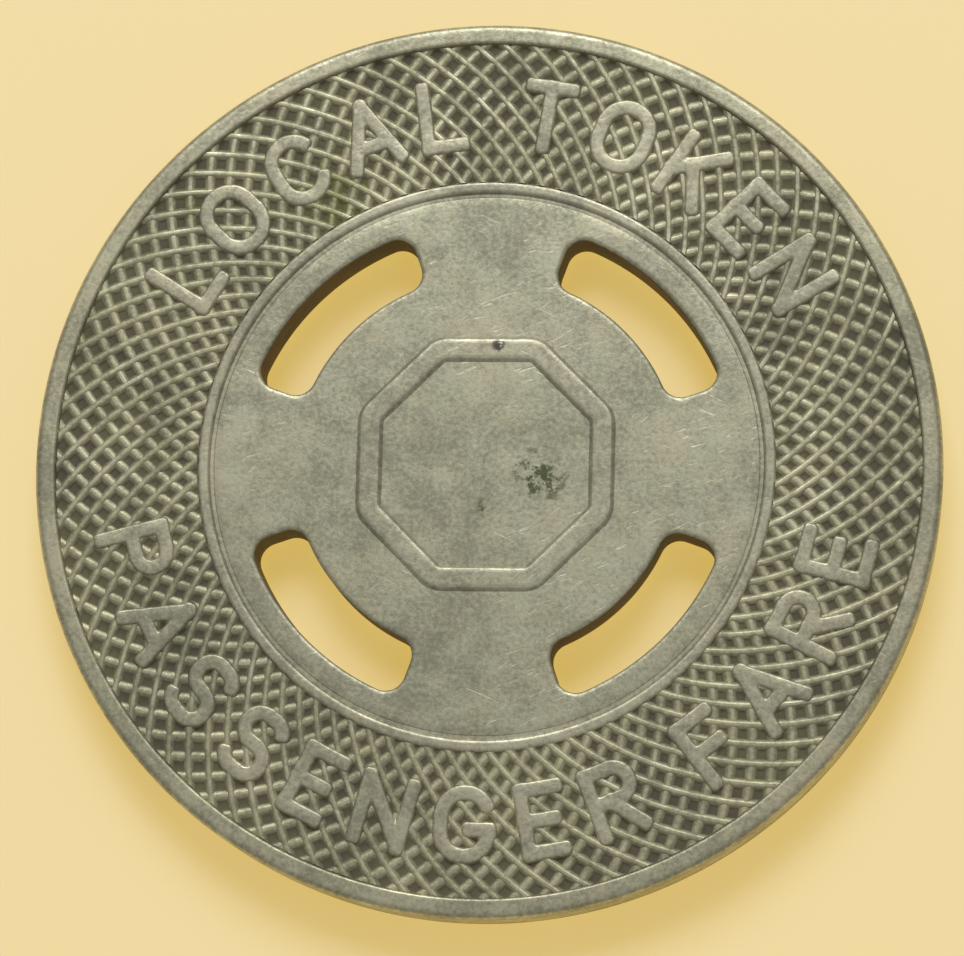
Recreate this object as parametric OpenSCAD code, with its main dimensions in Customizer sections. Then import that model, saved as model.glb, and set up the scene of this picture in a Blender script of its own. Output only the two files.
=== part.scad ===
// Transit token: a struck disc with a raised rim, a lettering band over crossing ridges,
// a raised inner ring, and a flat centre with four curved slots punched right through.
// Origin: centre of the plane that the reverse rim rests on. +Z points out of the front.
// The front reads upright with +Y up. The back is turned over about the Y axis.

/* [Disc] */
// Diameter over the rim
token_d = 16; // [15.8:0.1:17]
// Thickness over both rims
token_t = 1.1; // [0.9:0.05:1.6]
// Width of the raised rim
rim_w = 0.4; // [0.3:0.05:0.6]
// Radius that rounds the outer edge of the rim
rim_round = 0.12; // [0.05:0.01:0.14]
// Depth of the lettering band's floor below the rim
band_depth = 0.15; // [0.14:0.01:0.2]

/* [Centre] */
// Diameter over the inner ring, where the lettering band starts
ring_d = 10.24; // [10:0.02:10.4]
// Width of the inner ring
ring_w = 0.24; // [0.15:0.01:0.3]
// Height of the inner ring above the band's floor
ring_h = 0.09; // [0.06:0.01:0.13]
// Width of the groove between the inner ring and the centre
groove_w = 0.05; // [0.03:0.01:0.1]
// Height of the flat centre above the band's floor
centre_h = 0.05; // [0.03:0.01:0.08]
// Size of the eight-sided emblem frame across its flats
emblem_w = 4.6; // [3.6:0.1:5]
// Width of the emblem frame's raised line
emblem_line_w = 0.5; // [0.3:0.05:0.6]
// Height of the emblem frame above the flat centre
emblem_h = 0.05; // [0.03:0.01:0.06]

/* [Slots] */
// Number of curved slots
slot_count = 4; // [3:1:4]
// Radius of the slots' centre line
slot_r = 3.9; // [3.8:0.02:4.1]
// Width of a slot
slot_w = 1; // [0.8:0.05:1.2]
// Angle that a slot spans from tip to tip
slot_span = 51.5; // [40:0.5:60]
// Radius of a slot's corners
slot_corner_r = 0.35; // [0.1:0.05:0.35]

/* [Ridges] */
// Ridges in each of the two crossing families
ridge_count = 90; // [45:1:90]
// Angle that one ridge sweeps on its way across the band
ridge_sweep = 20.5; // [14:0.5:22]
// Width of a ridge at its foot
ridge_foot_w = 0.2; // [0.12:0.01:0.22]
// Width of a ridge at its crest
ridge_crest_w = 0.08; // [0.04:0.01:0.1]
// Height of one family of ridges; the second family lies on the first
ridge_h = 0.05; // [0.03:0.005:0.06]

/* [Legend] */
// Words along the top of the front
front_top_words = "LOCAL TOKEN"; // [LOCAL TOKEN, REGAL TOKEN, TOKEN]
// Words along the bottom of the front
front_foot_words = "PASSENGER FARE"; // [PASSENGER FARE, SEASON FARE, FARE]
// Words along the top of the back
back_top_words = "GOOD FOR"; // [GOOD FOR, FOR]
// Words along the bottom of the back
back_foot_words = "ONE FARE"; // [ONE FARE, FARE]
// Height of the letters
letter_h = 1.4; // [1.2:0.05:1.5]
// Width of a letter's stroke
letter_line_w = 0.3; // [0.22:0.01:0.32]
// Height of the letters above the band's floor
letter_raise = 0.13; // [0.12:0.01:0.14]
// Space between two letters
letter_gap = 0.32; // [0.2:0.02:0.4]
// Space between two words
word_gap = 0.6; // [0.4:0.05:0.9]

/* [Hidden] */
$fn = 96;

// A slot's outline runs in this many short steps along each long side and each corner.
slot_steps = 20;
corner_steps = 6;

token_r = token_d / 2;
floor_z = token_t - band_depth;
core_t = token_t - 2 * band_depth;
rim_inner_r = token_r - rim_w;
ring_r = ring_d / 2;
centre_r = ring_r - ring_w - groove_w;
centre_z = floor_z + centre_h;
past = 0.2;
first_slot_angle = 45;
emblem_sides = 8;

// The letters stand midway across the band.
band_mid_r = (ring_r + rim_inner_r) / 2;
cap_line_h = letter_h - letter_line_w;

metal = [0.62, 0.61, 0.53];
dark_metal = [0.48, 0.47, 0.4];
worn_metal = [0.7, 0.69, 0.6];

// --- Plain rounds -------------------------------------------------------------------

module tube(outer_r, inner_r, height) {
    difference() {
        cylinder(r = outer_r, h = height);
        translate([0, 0, -past]) cylinder(r = inner_r, h = height + 2 * past);
    }
}

// Points along an arc, leaving out a given number of them at each end.
function arc_points(centre, r, from, to, steps, skip) = [
    for (i = [skip : steps - skip])
        let (a = from + (to - from) * i / steps)
        centre + r * [cos(a), sin(a)]
];

// A rounded corner of a slot: its circle's centre is given as a radius and an angle.
function corner_points(centre_r, centre_angle, from, to) =
    arc_points(centre_r * [cos(centre_angle), sin(centre_angle)], slot_corner_r, from, to, corner_steps, 0);

// One curved slot centred on the +X axis, cut right through the metal.
// Its flat ends run between the points where they touch the rounded corners.
module slot_cutter() {
    in_r = slot_r - slot_w / 2 + slot_corner_r;
    out_r = slot_r + slot_w / 2 - slot_corner_r;
    end = slot_span / 2;
    in_angle = end - asin(slot_corner_r / in_r);
    out_angle = end - asin(slot_corner_r / out_r);
    outline = concat(
        arc_points([0, 0], slot_r + slot_w / 2, -out_angle, out_angle, slot_steps, 1),
        corner_points(out_r, out_angle, out_angle, end + 90),
        corner_points(in_r, in_angle, end + 90, in_angle + 180),
        arc_points([0, 0], slot_r - slot_w / 2, in_angle, -in_angle, slot_steps, 1),
        corner_points(in_r, -in_angle, 180 - in_angle, 270 - end),
        corner_points(out_r, -out_angle, -90 - end, -out_angle)
    );
    translate([0, 0, -past])
        linear_extrude(token_t + 2 * past) polygon(outline);
}

module slots() {
    for (i = [0 : slot_count - 1])
        rotate([0, 0, first_slot_angle + i * 360 / slot_count]) slot_cutter();
}

// Turns a front feature over onto the back.
module on_back() {
    translate([0, 0, token_t]) rotate([0, 180, 0]) children();
}

// --- Relief of one face -------------------------------------------------------------

module rim() {
    flat_w = rim_w - rim_round;
    rotate_extrude() {
        translate([rim_inner_r, floor_z]) square([rim_w, band_depth - rim_round]);
        translate([rim_inner_r, floor_z]) square([flat_w, band_depth]);
        intersection() {
            translate([token_r - rim_round, token_t - rim_round]) circle(r = rim_round);
            translate([token_r - rim_round, token_t - rim_round]) square(rim_round);
        }
    }
}

module inner_ring() {
    translate([0, 0, floor_z]) tube(ring_r, ring_r - ring_w, ring_h);
}

module medallion() {
    difference() {
        translate([0, 0, floor_z]) cylinder(r = centre_r, h = centre_h);
        slots();
    }
}

module emblem_frame() {
    half_side_angle = 180 / emblem_sides;
    outer_r = emblem_w / 2 / cos(half_side_angle);
    inner_r = (emblem_w / 2 - emblem_line_w) / cos(half_side_angle);
    translate([0, 0, centre_z])
        rotate([0, 0, half_side_angle])
            tube(outer_r, inner_r, emblem_h, $fn = emblem_sides);
}

// --- Crossing ridges ----------------------------------------------------------------

// A ridge runs outwards and round at a steady rate, from run 0 at the inner ring to run 1
// at the rim. It is close to one arc, so it is made as the arc through three of its points.
function ridge_point(run) =
    let (r = ring_r + run * (rim_inner_r - ring_r), a = run * ridge_sweep)
    [r * cos(a), r * sin(a)];

function arc_centre(p, q, s) =
    let (
        d = 2 * (p.x * (q.y - s.y) + q.x * (s.y - p.y) + s.x * (p.y - q.y)),
        pp = p * p,
        qq = q * q,
        ss = s * s
    )
    [
        (pp * (q.y - s.y) + qq * (s.y - p.y) + ss * (p.y - q.y)) / d,
        (pp * (s.x - q.x) + qq * (p.x - s.x) + ss * (q.x - p.x)) / d
    ];

// A ridge runs on past both ends of the band, and is trimmed to it afterwards.
ridge_overrun = 0.08;
ridge_start = ridge_point(-ridge_overrun);
ridge_end = ridge_point(1 + ridge_overrun);
ridge_centre = arc_centre(ridge_start, ridge_point(0.5), ridge_end);
ridge_arc_r = norm(ridge_start - ridge_centre);
ridge_from = atan2(ridge_start.y - ridge_centre.y, ridge_start.x - ridge_centre.x);
ridge_to = atan2(ridge_end.y - ridge_centre.y, ridge_end.x - ridge_centre.x);

module ridge() {
    translate([ridge_centre.x, ridge_centre.y, 0])
        rotate([0, 0, ridge_from])
            rotate_extrude(angle = ridge_to - ridge_from)
                translate([ridge_arc_r, 0])
                    polygon([
                        [-ridge_foot_w / 2, 0],
                        [ridge_foot_w / 2, 0],
                        [ridge_crest_w / 2, ridge_h],
                        [-ridge_crest_w / 2, ridge_h]
                    ]);
}

// One family of ridges, cleared where the letters stand. Those on layer 1 lean to the left
// on their way out, and lie on those of layer 0, which lean to the right.
module ridge_family(layer, top_words, foot_words) {
    difference() {
        translate([0, 0, floor_z + layer * ridge_h])
            intersection() {
                for (i = [0 : ridge_count - 1])
                    rotate([0, 0, i * 360 / ridge_count]) mirror([0, 1 - layer, 0]) ridge();
                tube(rim_inner_r, ring_r, ridge_h);
            }
        top_legend(top_words);
        foot_legend(foot_words);
    }
}

// --- Lettering ----------------------------------------------------------------------

// Width of a letter between the middles of its outer strokes, as a share of its height.
function letter_share(c) =
    c == "E" || c == "F" || c == "L" ? 0.44 :
    c == "P" || c == "S" ? 0.5 :
    c == "R" || c == "T" || c == "K" ? 0.52 :
    c == "D" || c == "N" || c == "C" ? 0.56 :
    0.6;

function letter_w(c) = letter_share(c) * letter_h;

// Shares of a letter's width or height where its inner strokes turn or meet.
arm_share = 0.85;
corner_share = 0.36;
bar_share = 0.3;
bar_end_share = 0.2;
shelf_share = 0.42;
join_share = 0.4;
// Angle of an open letter's mouth above or below the level, about its bowl's middle.
mouth_angle = 25;

// Straight strokes as [from x, from y, to x, to y, 1 where the ends run on half a stroke].
function straight_strokes(c, w, h) =
    let (
        stem = [0, 0, 0, h, 1],
        top = [0, h, w, h, 1],
        middle = [0, h / 2, arm_share * w, h / 2, 1],
        foot = [0, 0, w, 0, 1],
        side = w / 2,
        bowl = h / 4,
        corner = corner_share * h,
        bar = bar_share * h,
        bar_end = bar_end_share * w,
        shelf = shelf_share * h,
        join = join_share * w
    )
    c == "A" ? [[0, 0, w / 2, h, 1], [w, 0, w / 2, h, 1], [bar_end, bar, w - bar_end, bar, 0]] :
    c == "C" ? [[0, side, 0, h - side, 0]] :
    c == "D" ? [stem, [0, h, w - corner, h, 0], [0, 0, w - corner, 0, 0], [w, corner, w, h - corner, 0]] :
    c == "E" ? [stem, top, middle, foot] :
    c == "F" ? [stem, top, middle] :
    c == "G" ? [[0, side, 0, h - side, 0], [w, side, w, shelf, 1], [w - join, shelf, w, shelf, 1]] :
    c == "K" ? [stem, [0, corner, w, h, 1], [join, corner + join_share * (h - corner), w, 0, 1]] :
    c == "L" ? [stem, foot] :
    c == "N" ? [stem, [w, 0, w, h, 1], [0, h, w, 0, 0]] :
    c == "O" ? [[0, side, 0, h - side, 0], [w, side, w, h - side, 0]] :
    c == "P" ? [stem, [0, h, w - bowl, h, 0], [0, h / 2, w - bowl, h / 2, 0]] :
    c == "R" ? [stem, [0, h, w - bowl, h, 0], [0, h / 2, w - bowl, h / 2, 0], [join, h / 2, w, 0, 1]] :
    c == "S" ? [[bowl, h, w - bowl, h, 0], [bowl, h / 2, w - bowl, h / 2, 0], [bowl, 0, w - bowl, 0, 0]] :
    c == "T" ? [top, [w / 2, 0, w / 2, h, 1]] :
    [];

// Round strokes as [centre x, centre y, radius, from angle, to angle].
function round_strokes(c, w, h) =
    let (side = w / 2, bowl = h / 4, corner = corner_share * h)
    c == "C" ? [[side, h - side, side, mouth_angle, 180], [side, side, side, 180, 360 - mouth_angle]] :
    c == "D" ? [[w - corner, h - corner, corner, 0, 90], [w - corner, corner, corner, 270, 360]] :
    c == "G" ? [[side, h - side, side, mouth_angle, 180], [side, side, side, 180, 360]] :
    c == "O" ? [[side, h - side, side, 0, 180], [side, side, side, 180, 360]] :
    c == "P" || c == "R" ? [[w - bowl, h - bowl, bowl, -90, 90]] :
    c == "S" ? [
        [bowl, h - bowl, bowl, 90, 270], [w - bowl, h - bowl, bowl, mouth_angle, 90],
        [w - bowl, bowl, bowl, -90, 90], [bowl, bowl, bowl, 180 + mouth_angle, 270]
    ] :
    [];

module straight_stroke(stroke) {
    run = [stroke[2] - stroke[0], stroke[3] - stroke[1]];
    end = stroke[4] * letter_line_w / 2;
    translate([stroke[0], stroke[1], 0])
        rotate([0, 0, atan2(run.y, run.x)])
            translate([-end, -letter_line_w / 2, 0])
                cube([norm(run) + 2 * end, letter_line_w, letter_raise]);
}

module round_stroke(stroke) {
    translate([stroke[0], stroke[1], 0])
        rotate([0, 0, stroke[3]])
            rotate_extrude(angle = stroke[4] - stroke[3])
                translate([stroke[2] - letter_line_w / 2, 0])
                    square([letter_line_w, letter_raise]);
}

// A letter centred on x = 0 with its middle height at y = 0.
module letter(c) {
    w = letter_w(c);
    translate([-w / 2, -cap_line_h / 2, 0]) {
        for (stroke = straight_strokes(c, w, cap_line_h)) straight_stroke(stroke);
        for (stroke = round_strokes(c, w, cap_line_h)) round_stroke(stroke);
    }
}

// How far along the band a character reaches, and where the middle of letter n comes.
function advance(c) = c == " " ? word_gap : letter_w(c) + letter_line_w + letter_gap;
function reach(words, n) = n == 0 ? 0 : reach(words, n - 1) + advance(words[n - 1]);
function letter_angle(words, n) =
    let (along = reach(words, n) + advance(words[n]) / 2 - reach(words, len(words)) / 2)
    along / band_mid_r * 180 / PI;

module top_legend(words) {
    for (n = [0 : len(words) - 1])
        if (words[n] != " ")
            rotate([0, 0, -letter_angle(words, n)])
                translate([0, band_mid_r, floor_z]) letter(words[n]);
}

module foot_legend(words) {
    for (n = [0 : len(words) - 1])
        if (words[n] != " ")
            rotate([0, 0, letter_angle(words, n)])
                translate([0, -band_mid_r, floor_z]) letter(words[n]);
}

// --- Sub-parts ----------------------------------------------------------------------

module blank() {
    color(metal)
        difference() {
            translate([0, 0, band_depth]) cylinder(r = token_r, h = core_t);
            slots();
        }
}

module front_rim() {
    color(worn_metal) rim();
}

module front_inner_ring() {
    color(worn_metal) inner_ring();
}

module front_medallion() {
    color(metal) medallion();
}

module front_emblem_frame() {
    color(worn_metal) emblem_frame();
}

module front_lattice_left() {
    color(dark_metal) ridge_family(1, front_top_words, front_foot_words);
}

module front_lattice_right() {
    color(dark_metal) ridge_family(0, front_top_words, front_foot_words);
}

module front_legend_top() {
    color(worn_metal) top_legend(front_top_words);
}

module front_legend_foot() {
    color(worn_metal) foot_legend(front_foot_words);
}

module back_rim() {
    color(worn_metal) on_back() rim();
}

module back_inner_ring() {
    color(worn_metal) on_back() inner_ring();
}

module back_medallion() {
    color(metal) on_back() medallion();
}

module back_emblem_frame() {
    color(worn_metal) on_back() emblem_frame();
}

module back_lattice_left() {
    color(dark_metal) on_back() ridge_family(1, back_top_words, back_foot_words);
}

module back_lattice_right() {
    color(dark_metal) on_back() ridge_family(0, back_top_words, back_foot_words);
}

module back_legend_top() {
    color(worn_metal) on_back() top_legend(back_top_words);
}

module back_legend_foot() {
    color(worn_metal) on_back() foot_legend(back_foot_words);
}

blank();
front_rim();
front_inner_ring();
front_medallion();
front_emblem_frame();
front_lattice_left();
front_lattice_right();
front_legend_top();
front_legend_foot();
back_rim();
back_inner_ring();
back_medallion();
back_emblem_frame();
back_lattice_left();
back_lattice_right();
back_legend_top();
back_legend_foot();
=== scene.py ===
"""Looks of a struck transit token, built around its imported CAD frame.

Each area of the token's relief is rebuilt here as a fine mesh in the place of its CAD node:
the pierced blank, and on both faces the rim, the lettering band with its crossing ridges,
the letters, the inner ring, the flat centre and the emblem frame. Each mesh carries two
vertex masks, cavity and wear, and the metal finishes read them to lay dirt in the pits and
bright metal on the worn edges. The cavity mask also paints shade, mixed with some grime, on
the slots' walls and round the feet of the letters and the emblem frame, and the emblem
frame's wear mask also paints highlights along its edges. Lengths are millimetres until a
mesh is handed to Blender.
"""

import logging
import math
from dataclasses import dataclass, field
from enum import Enum
from functools import partial

import bpy
import numpy as np
from mathutils import Matrix, Vector
from mathutils.geometry import delaunay_2d_cdt


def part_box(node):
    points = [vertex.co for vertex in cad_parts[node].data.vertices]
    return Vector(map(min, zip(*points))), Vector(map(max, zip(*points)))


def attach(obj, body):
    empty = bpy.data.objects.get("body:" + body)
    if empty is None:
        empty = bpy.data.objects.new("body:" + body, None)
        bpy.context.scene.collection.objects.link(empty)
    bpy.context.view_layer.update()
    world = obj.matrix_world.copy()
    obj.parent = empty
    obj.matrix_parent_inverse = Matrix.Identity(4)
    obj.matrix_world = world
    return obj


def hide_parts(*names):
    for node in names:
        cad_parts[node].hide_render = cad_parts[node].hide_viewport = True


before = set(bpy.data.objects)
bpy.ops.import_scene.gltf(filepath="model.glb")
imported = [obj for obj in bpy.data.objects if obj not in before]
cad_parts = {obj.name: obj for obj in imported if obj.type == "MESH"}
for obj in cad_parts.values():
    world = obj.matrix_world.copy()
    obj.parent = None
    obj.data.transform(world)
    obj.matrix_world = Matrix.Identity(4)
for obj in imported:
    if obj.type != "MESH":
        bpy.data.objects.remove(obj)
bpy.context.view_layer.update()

log = logging.getLogger("token")

MM = 0.001
TURN = 2 * math.pi
SHARP_ANGLE = math.radians(50)  # faces that meet more steeply keep a crisp edge

Array = np.ndarray
Colour = tuple[float, float, float]


class Side(Enum):
    """The two faces of the token."""

    FRONT = "front"
    BACK = "back"

    def node(self, name: str) -> str:
        """The name of this face's CAD node for one area."""
        return f"{self.value}_{name}"


class Place(Enum):
    """Where a legend runs: its letters' tops point out from the top, and in from the foot."""

    TOP = "top"
    FOOT = "foot"


class Lean(Enum):
    """The two families of ridges, by the way they lean as they run outwards."""

    LEFT = "lattice_left"
    RIGHT = "lattice_right"

    @property
    def way(self) -> int:
        """1 where the angle grows with the radius, and -1 where it falls."""
        return 1 if self is Lean.LEFT else -1

    @property
    def drop(self) -> float:
        """How far the family's crests lie below the higher family's, in millimetres."""
        return 0.0 if self is Lean.LEFT else 0.012

    @property
    def lift(self) -> float:
        """How thick the dirt lies between the family's ridges, in millimetres."""
        return 0.012 if self is Lean.LEFT else 0.03


# --- Sizes, read from the frame ------------------------------------------------------------


def high(node: str, axis: int) -> float:
    """The highest coordinate of a CAD node.

    Args:
        node: The node's name.
        axis: 0, 1 or 2 for X, Y or Z.

    Returns:
        The coordinate in millimetres.
    """
    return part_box(node)[1][axis] / MM


def measured(node: str, axis: int) -> float:
    """A size field that reads a CAD node's highest coordinate."""
    return field(default_factory=partial(high, node, axis))


@dataclass(frozen=True)
class Sizes:
    """The token's radii and heights in millimetres, as the CAD frame has them."""

    token_r: float = measured("front_rim", 1)
    token_t: float = measured("front_rim", 2)
    rim_inner_r: float = measured("front_lattice_left", 0)
    ring_r: float = measured("front_inner_ring", 0)
    centre_r: float = measured("front_medallion", 0)
    emblem_half_w: float = measured("front_emblem_frame", 0)
    floor_z: float = measured("blank", 2)
    crest_z: float = measured("front_lattice_left", 2)
    letter_z: float = measured("front_legend_top", 2)
    ring_z: float = measured("front_inner_ring", 2)
    centre_z: float = measured("front_medallion", 2)
    emblem_z: float = measured("front_emblem_frame", 2)
    ring_w: float = 0.24
    emblem_line_w: float = 0.5
    slot_r: float = 3.9
    slot_w: float = 1.0
    slot_span: float = math.radians(51.5)
    slot_corner_r: float = 0.35
    ridge_count: int = 90
    ridge_sweep: float = math.radians(20.5)
    letter_h: float = 1.4
    letter_line_w: float = 0.3
    letter_gap: float = 0.32
    word_gap: float = 0.6

    @property
    def band_mid_r(self) -> float:
        """The radius midway across the lettering band."""
        return (self.ring_r + self.rim_inner_r) / 2


SIZES = Sizes()


# --- Small numeric helpers -----------------------------------------------------------------


def smoothstep(low: float, top: float, value: Array) -> Array:
    """A soft step from 0 at low to 1 at top.

    Args:
        low: The value where the step starts.
        top: The value where it ends.
        value: The values to step.

    Returns:
        Numbers from 0 to 1.
    """
    t = np.clip((value - low) / (top - low), 0.0, 1.0)
    return t * t * (3 - 2 * t)


def patchy(x: Array, y: Array, cell: float, seed: int) -> Array:
    """Smooth value noise over the plane.

    Args:
        x: X in millimetres.
        y: Y in millimetres.
        cell: The size of one patch in millimetres.
        seed: Picks the pattern.

    Returns:
        Numbers from -1 to 1.
    """
    side = 64
    table = np.random.default_rng(seed).random((side, side)) * 2 - 1
    u, v = x / cell + side, y / cell + side
    i, j = np.floor(u).astype(int), np.floor(v).astype(int)
    fu, fv = smoothstep(0, 1, u - i), smoothstep(0, 1, v - j)
    i, j, next_i, next_j = i % side, j % side, (i + 1) % side, (j + 1) % side
    low = table[i, j] * (1 - fu) + table[next_i, j] * fu
    top = table[i, next_j] * (1 - fu) + table[next_i, next_j] * fu
    return low * (1 - fv) + top * fv


@dataclass(frozen=True)
class Ripple:
    """A gentle unevenness: up to twice its depth, in patches of one size."""

    depth: float
    cell: float
    seed: int

    def at(self, x: Array, y: Array) -> Array:
        """How far the surface sinks at each point, in millimetres."""
        return self.depth * (1 + patchy(x, y, self.cell, self.seed))


def slot_corner(way: int) -> tuple[float, float]:
    """Where the middle of a slot's corner lies.

    Args:
        way: 1 for an outer corner, -1 for an inner one.

    Returns:
        Its radius in millimetres and its angle from the slot's middle in radians.
    """
    r = SIZES.slot_r + way * (SIZES.slot_w / 2 - SIZES.slot_corner_r)
    return r, SIZES.slot_span / 2 - math.asin(SIZES.slot_corner_r / r)


def slot_outline(middle: float, grow: float, steps: int) -> Array:
    """The outline of one curved slot, counter-clockwise.

    Args:
        middle: The angle of the slot's middle, in radians.
        grow: How far outside the slot's wall the outline runs, in millimetres.
        steps: Points on each long side; each corner has a quarter of them.

    Returns:
        Points (n, 2) in millimetres.
    """
    share = np.linspace(0, 1, steps)
    reach = SIZES.slot_corner_r + grow
    end = SIZES.slot_span / 2
    stretches = []
    for way, base in ((1, 0.0), (-1, math.pi)):
        r, limit = slot_corner(way)
        side = way * (2 * share - 1) * limit
        stretches.append((r + way * reach) * np.stack([np.cos(side), np.sin(side)], 1))
        facing = way * end + base + math.pi / 2
        for corner_way in (way, -way):
            hub_r, hub_at = slot_corner(corner_way)
            hub = hub_r * np.array([math.cos(hub_at), way * math.sin(hub_at)])
            if corner_way == way:
                arc = np.linspace(way * hub_at + base, facing, steps // 4)[1:]
            else:
                arc = np.linspace(facing, way * hub_at + base + math.pi, steps // 4)[:-1]
            stretches.append(hub + reach * np.stack([np.cos(arc), np.sin(arc)], 1))
    points = np.concatenate(stretches)
    c, d = math.cos(middle), math.sin(middle)
    return points @ np.array([[c, d], [-d, c]])


def slot_depth(x: Array, y: Array) -> Array:
    """How far points lie outside the nearest slot's wall; negative inside a slot.

    Args:
        x: X in millimetres.
        y: Y in millimetres.

    Returns:
        Distances in millimetres.
    """
    quarter, end = math.pi / 2, SIZES.slot_span / 2
    angle = abs(np.mod(np.arctan2(y, x), quarter) - quarter / 2)
    r = np.hypot(x, y)
    past_end = r * np.sin(angle - end) + SIZES.slot_corner_r
    bow = SIZES.slot_corner_r ** 2 / SIZES.slot_r / 2
    past_side = abs(np.where(past_end > 0, r * np.cos(angle - end) + bow, r) - SIZES.slot_r)
    past_side = past_side - SIZES.slot_w / 2 + SIZES.slot_corner_r
    outside = np.hypot(np.maximum(past_end, 0), np.maximum(past_side, 0))
    return outside + np.minimum(np.maximum(past_end, past_side), 0) - SIZES.slot_corner_r


SLOT_MIDDLES = [math.radians(45 + 90 * i) for i in range(4)]


# --- Mesh building -------------------------------------------------------------------------


@dataclass
class Shell:
    """One mesh while it is being built, in the front face's own place.

    Every vertex has a cavity mask, which takes dirt and, on the slots' walls and at the feet of the letters
    and the emblem frame, painted shade; and a wear mask, which takes the shine of worn metal and, on the
    emblem frame's edges, painted highlight.
    """

    name: str
    points: list[Array] = field(default_factory=list)
    masks: list[Array] = field(default_factory=list)
    faces: list[Array] = field(default_factory=list)
    count: int = 0

    def add_points(self, points: Array, cavity: Array | float, wear: Array | float) -> Array:
        """Adds vertices.

        Args:
            points: Coordinates (..., 3) in millimetres.
            cavity: The cavity mask, one for all or one each.
            wear: The wear mask, one for all or one each.

        Returns:
            The vertices' numbers, in the shape of points without its last axis.
        """
        shape = points.shape[:-1]
        flat = points.reshape(-1, 3)
        self.points.append(flat)
        both = [np.broadcast_to(mask, shape).reshape(-1) for mask in (cavity, wear)]
        self.masks.append(np.stack(both, 1))
        numbers = np.arange(self.count, self.count + len(flat)).reshape(shape)
        self.count += len(flat)
        return numbers

    def add_quads(self, rows: Array, wrap: bool = False) -> None:
        """Faces between neighbours in a grid of vertex numbers.

        Args:
            rows: Vertex numbers (rows, columns).
            wrap: Whether the last column joins the first.
        """
        nxt = np.roll(rows, -1, axis=1) if wrap else rows[:, 1:]
        now = rows if wrap else rows[:, :-1]
        quads = np.stack([now[:-1], nxt[:-1], nxt[1:], now[1:]], -1)
        self.faces.append(quads.reshape(-1, 4))

    def add_lathe(self, profile: Array, masks: Array, columns: int, ripple: float, seed: int) -> None:
        """A closed ring turned about Z, with a little unevenness.

        Args:
            profile: Points (n, 2) of radius and height, clockwise round the section.
            masks: Cavity and wear (n, 2) at those points.
            columns: Steps round the ring.
            ripple: How far the surface wanders, in millimetres.
            seed: Picks the unevenness.
        """
        angle = np.arange(columns) * TURN / columns
        r, z = profile[:, :1], profile[:, 1:]
        x, y = r * np.cos(angle), r * np.sin(angle)
        proud = masks[:, 1:]
        sink = ripple * proud * (2 + patchy(x, y, 0.9, seed) + patchy(x, y, 0.25, seed + 1)) / 4
        tall = np.broadcast_to(z, x.shape) - sink
        wear = proud * (0.75 + 0.25 * patchy(x, y, 0.5, seed + 2))
        grid = np.stack([x, y, tall], -1)
        rows = self.add_points(grid, np.broadcast_to(masks[:, :1], x.shape), wear)
        self.add_quads(np.vstack([rows, rows[:1]]), wrap=True)

    def settle(self, side: Side, node: str, finish: "MetalFinish") -> bpy.types.Object:
        """Makes the Blender object in the place of a CAD node, turned over for the back.

        Args:
            side: The face that the piece belongs to.
            node: The CAD node that it stands for.
            finish: The finish that it takes.

        Returns:
            The finished piece, linked to the scene.
        """
        points = np.concatenate(self.points)
        if side is Side.BACK:
            points = points * [-1, 1, -1] + [0, 0, SIZES.token_t]
        sizes = [np.full(len(faces), faces.shape[1]) for faces in self.faces]
        totals, loops = np.concatenate(sizes), np.concatenate([faces.reshape(-1) for faces in self.faces])
        mesh = bpy.data.meshes.new(self.name)
        mesh.vertices.add(len(points))
        mesh.vertices.foreach_set("co", (points * MM).astype(np.float32).reshape(-1))
        mesh.loops.add(len(loops))
        mesh.loops.foreach_set("vertex_index", loops.astype(np.int32))
        mesh.polygons.add(len(totals))
        starts = np.concatenate([[0], np.cumsum(totals)[:-1]])
        mesh.polygons.foreach_set("loop_start", starts.astype(np.int32))
        mesh.update(calc_edges=True)
        for number, mask in enumerate(("cavity", "wear")):
            layer = mesh.attributes.new(mask, "FLOAT", "POINT")
            values = np.concatenate(self.masks)[:, number]
            layer.data.foreach_set("value", np.clip(values, 0, 1).astype(np.float32))
        mesh.shade_smooth()
        mesh.set_sharp_from_angle(angle=SHARP_ANGLE)
        piece = bpy.data.objects.new(self.name, mesh)
        bpy.context.scene.collection.objects.link(piece)
        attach(piece, "root")
        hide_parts(node)
        finish.dress(piece)
        return piece


def pierced_disc(outline: Array, holes: list[Array], inner: Array) -> tuple[Array, Array]:
    """Triangles that fill an outline, leaving the slots open.

    A triangle with all its corners on one hole's loop, in the loop's own order, lies in the hole.

    Args:
        outline: The outer loop (n, 2).
        holes: The slots' loops, counter-clockwise.
        inner: Points (m, 2) to mesh through inside.

    Returns:
        The points (p, 2), loops first in their order, and the triangles (q, 3).
    """
    loops = [outline, *holes]
    edges, at = [], 0
    for loop in loops:
        edges += [(at + i, at + (i + 1) % len(loop)) for i in range(len(loop))]
        at += len(loop)
    points = np.concatenate([*loops, inner])
    found = delaunay_2d_cdt([Vector(p) for p in points], edges, [], 0, 1e-7, False)
    points = np.array([tuple(p) for p in found[0]])
    triangles = np.array(found[2])
    ranked = np.sort(triangles, 1)
    a, b, c = (points[ranked[:, k]] for k in range(3))
    turned = (b - a)[:, 0] * (c - a)[:, 1] > (b - a)[:, 1] * (c - a)[:, 0]
    keep = np.ones(len(triangles), bool)
    first = len(outline)
    for hole in holes:
        keep &= ~(turned & (ranked[:, 0] >= first) & (ranked[:, 2] < first + len(hole)))
        first += len(hole)
    return points, triangles[keep]


# --- Letters -------------------------------------------------------------------------------


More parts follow.
